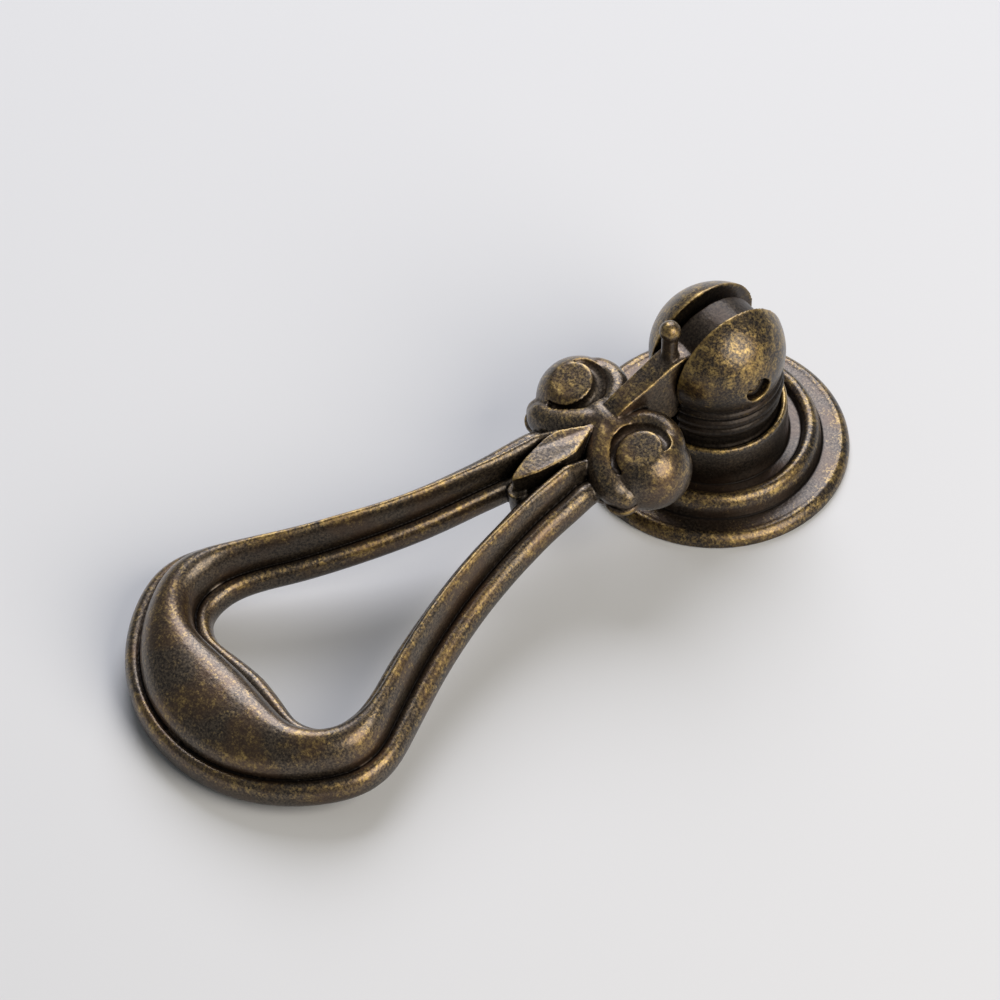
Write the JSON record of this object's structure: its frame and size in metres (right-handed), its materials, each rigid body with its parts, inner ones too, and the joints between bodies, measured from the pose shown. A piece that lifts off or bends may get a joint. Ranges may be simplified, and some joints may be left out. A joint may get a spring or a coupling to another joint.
{
  "type": "drawer pull",
  "caption": "Drop-style drawer pull: an open teardrop handle with scrolls and a leaf, hinged in a slotted ball head on a round stepped rosette.",
  "frame": {"origin": "middle of the rosette's back face, which lies on the drawer front", "axes": "+Z out of the drawer front along the screw, -Y towards the handle's grip as it hangs or lies, X across along the hinge pin"},
  "size_m": [0.0282, 0.0675, 0.0186],
  "materials": {
    "aged_bronze": "zinc alloy casting with a dark antique bronze plating, satin and worn to brass on the high spots",
    "pin_steel": "plain darkened pin end"
  },
  "bodies": {
    "base": {"rosette": "aged_bronze", "ball_post": "aged_bronze", "hinge_pin": "pin_steel"},
    "handle": {"drop_handle": "aged_bronze"}
  },
  "joints": [
    {"name": "handle_swing", "type": "hinge", "parent": "base", "child": "handle", "pos_m": [0, 0, 0.012], "axis": [-1, 0, 0], "range_deg": [0, 150]}
  ]
}
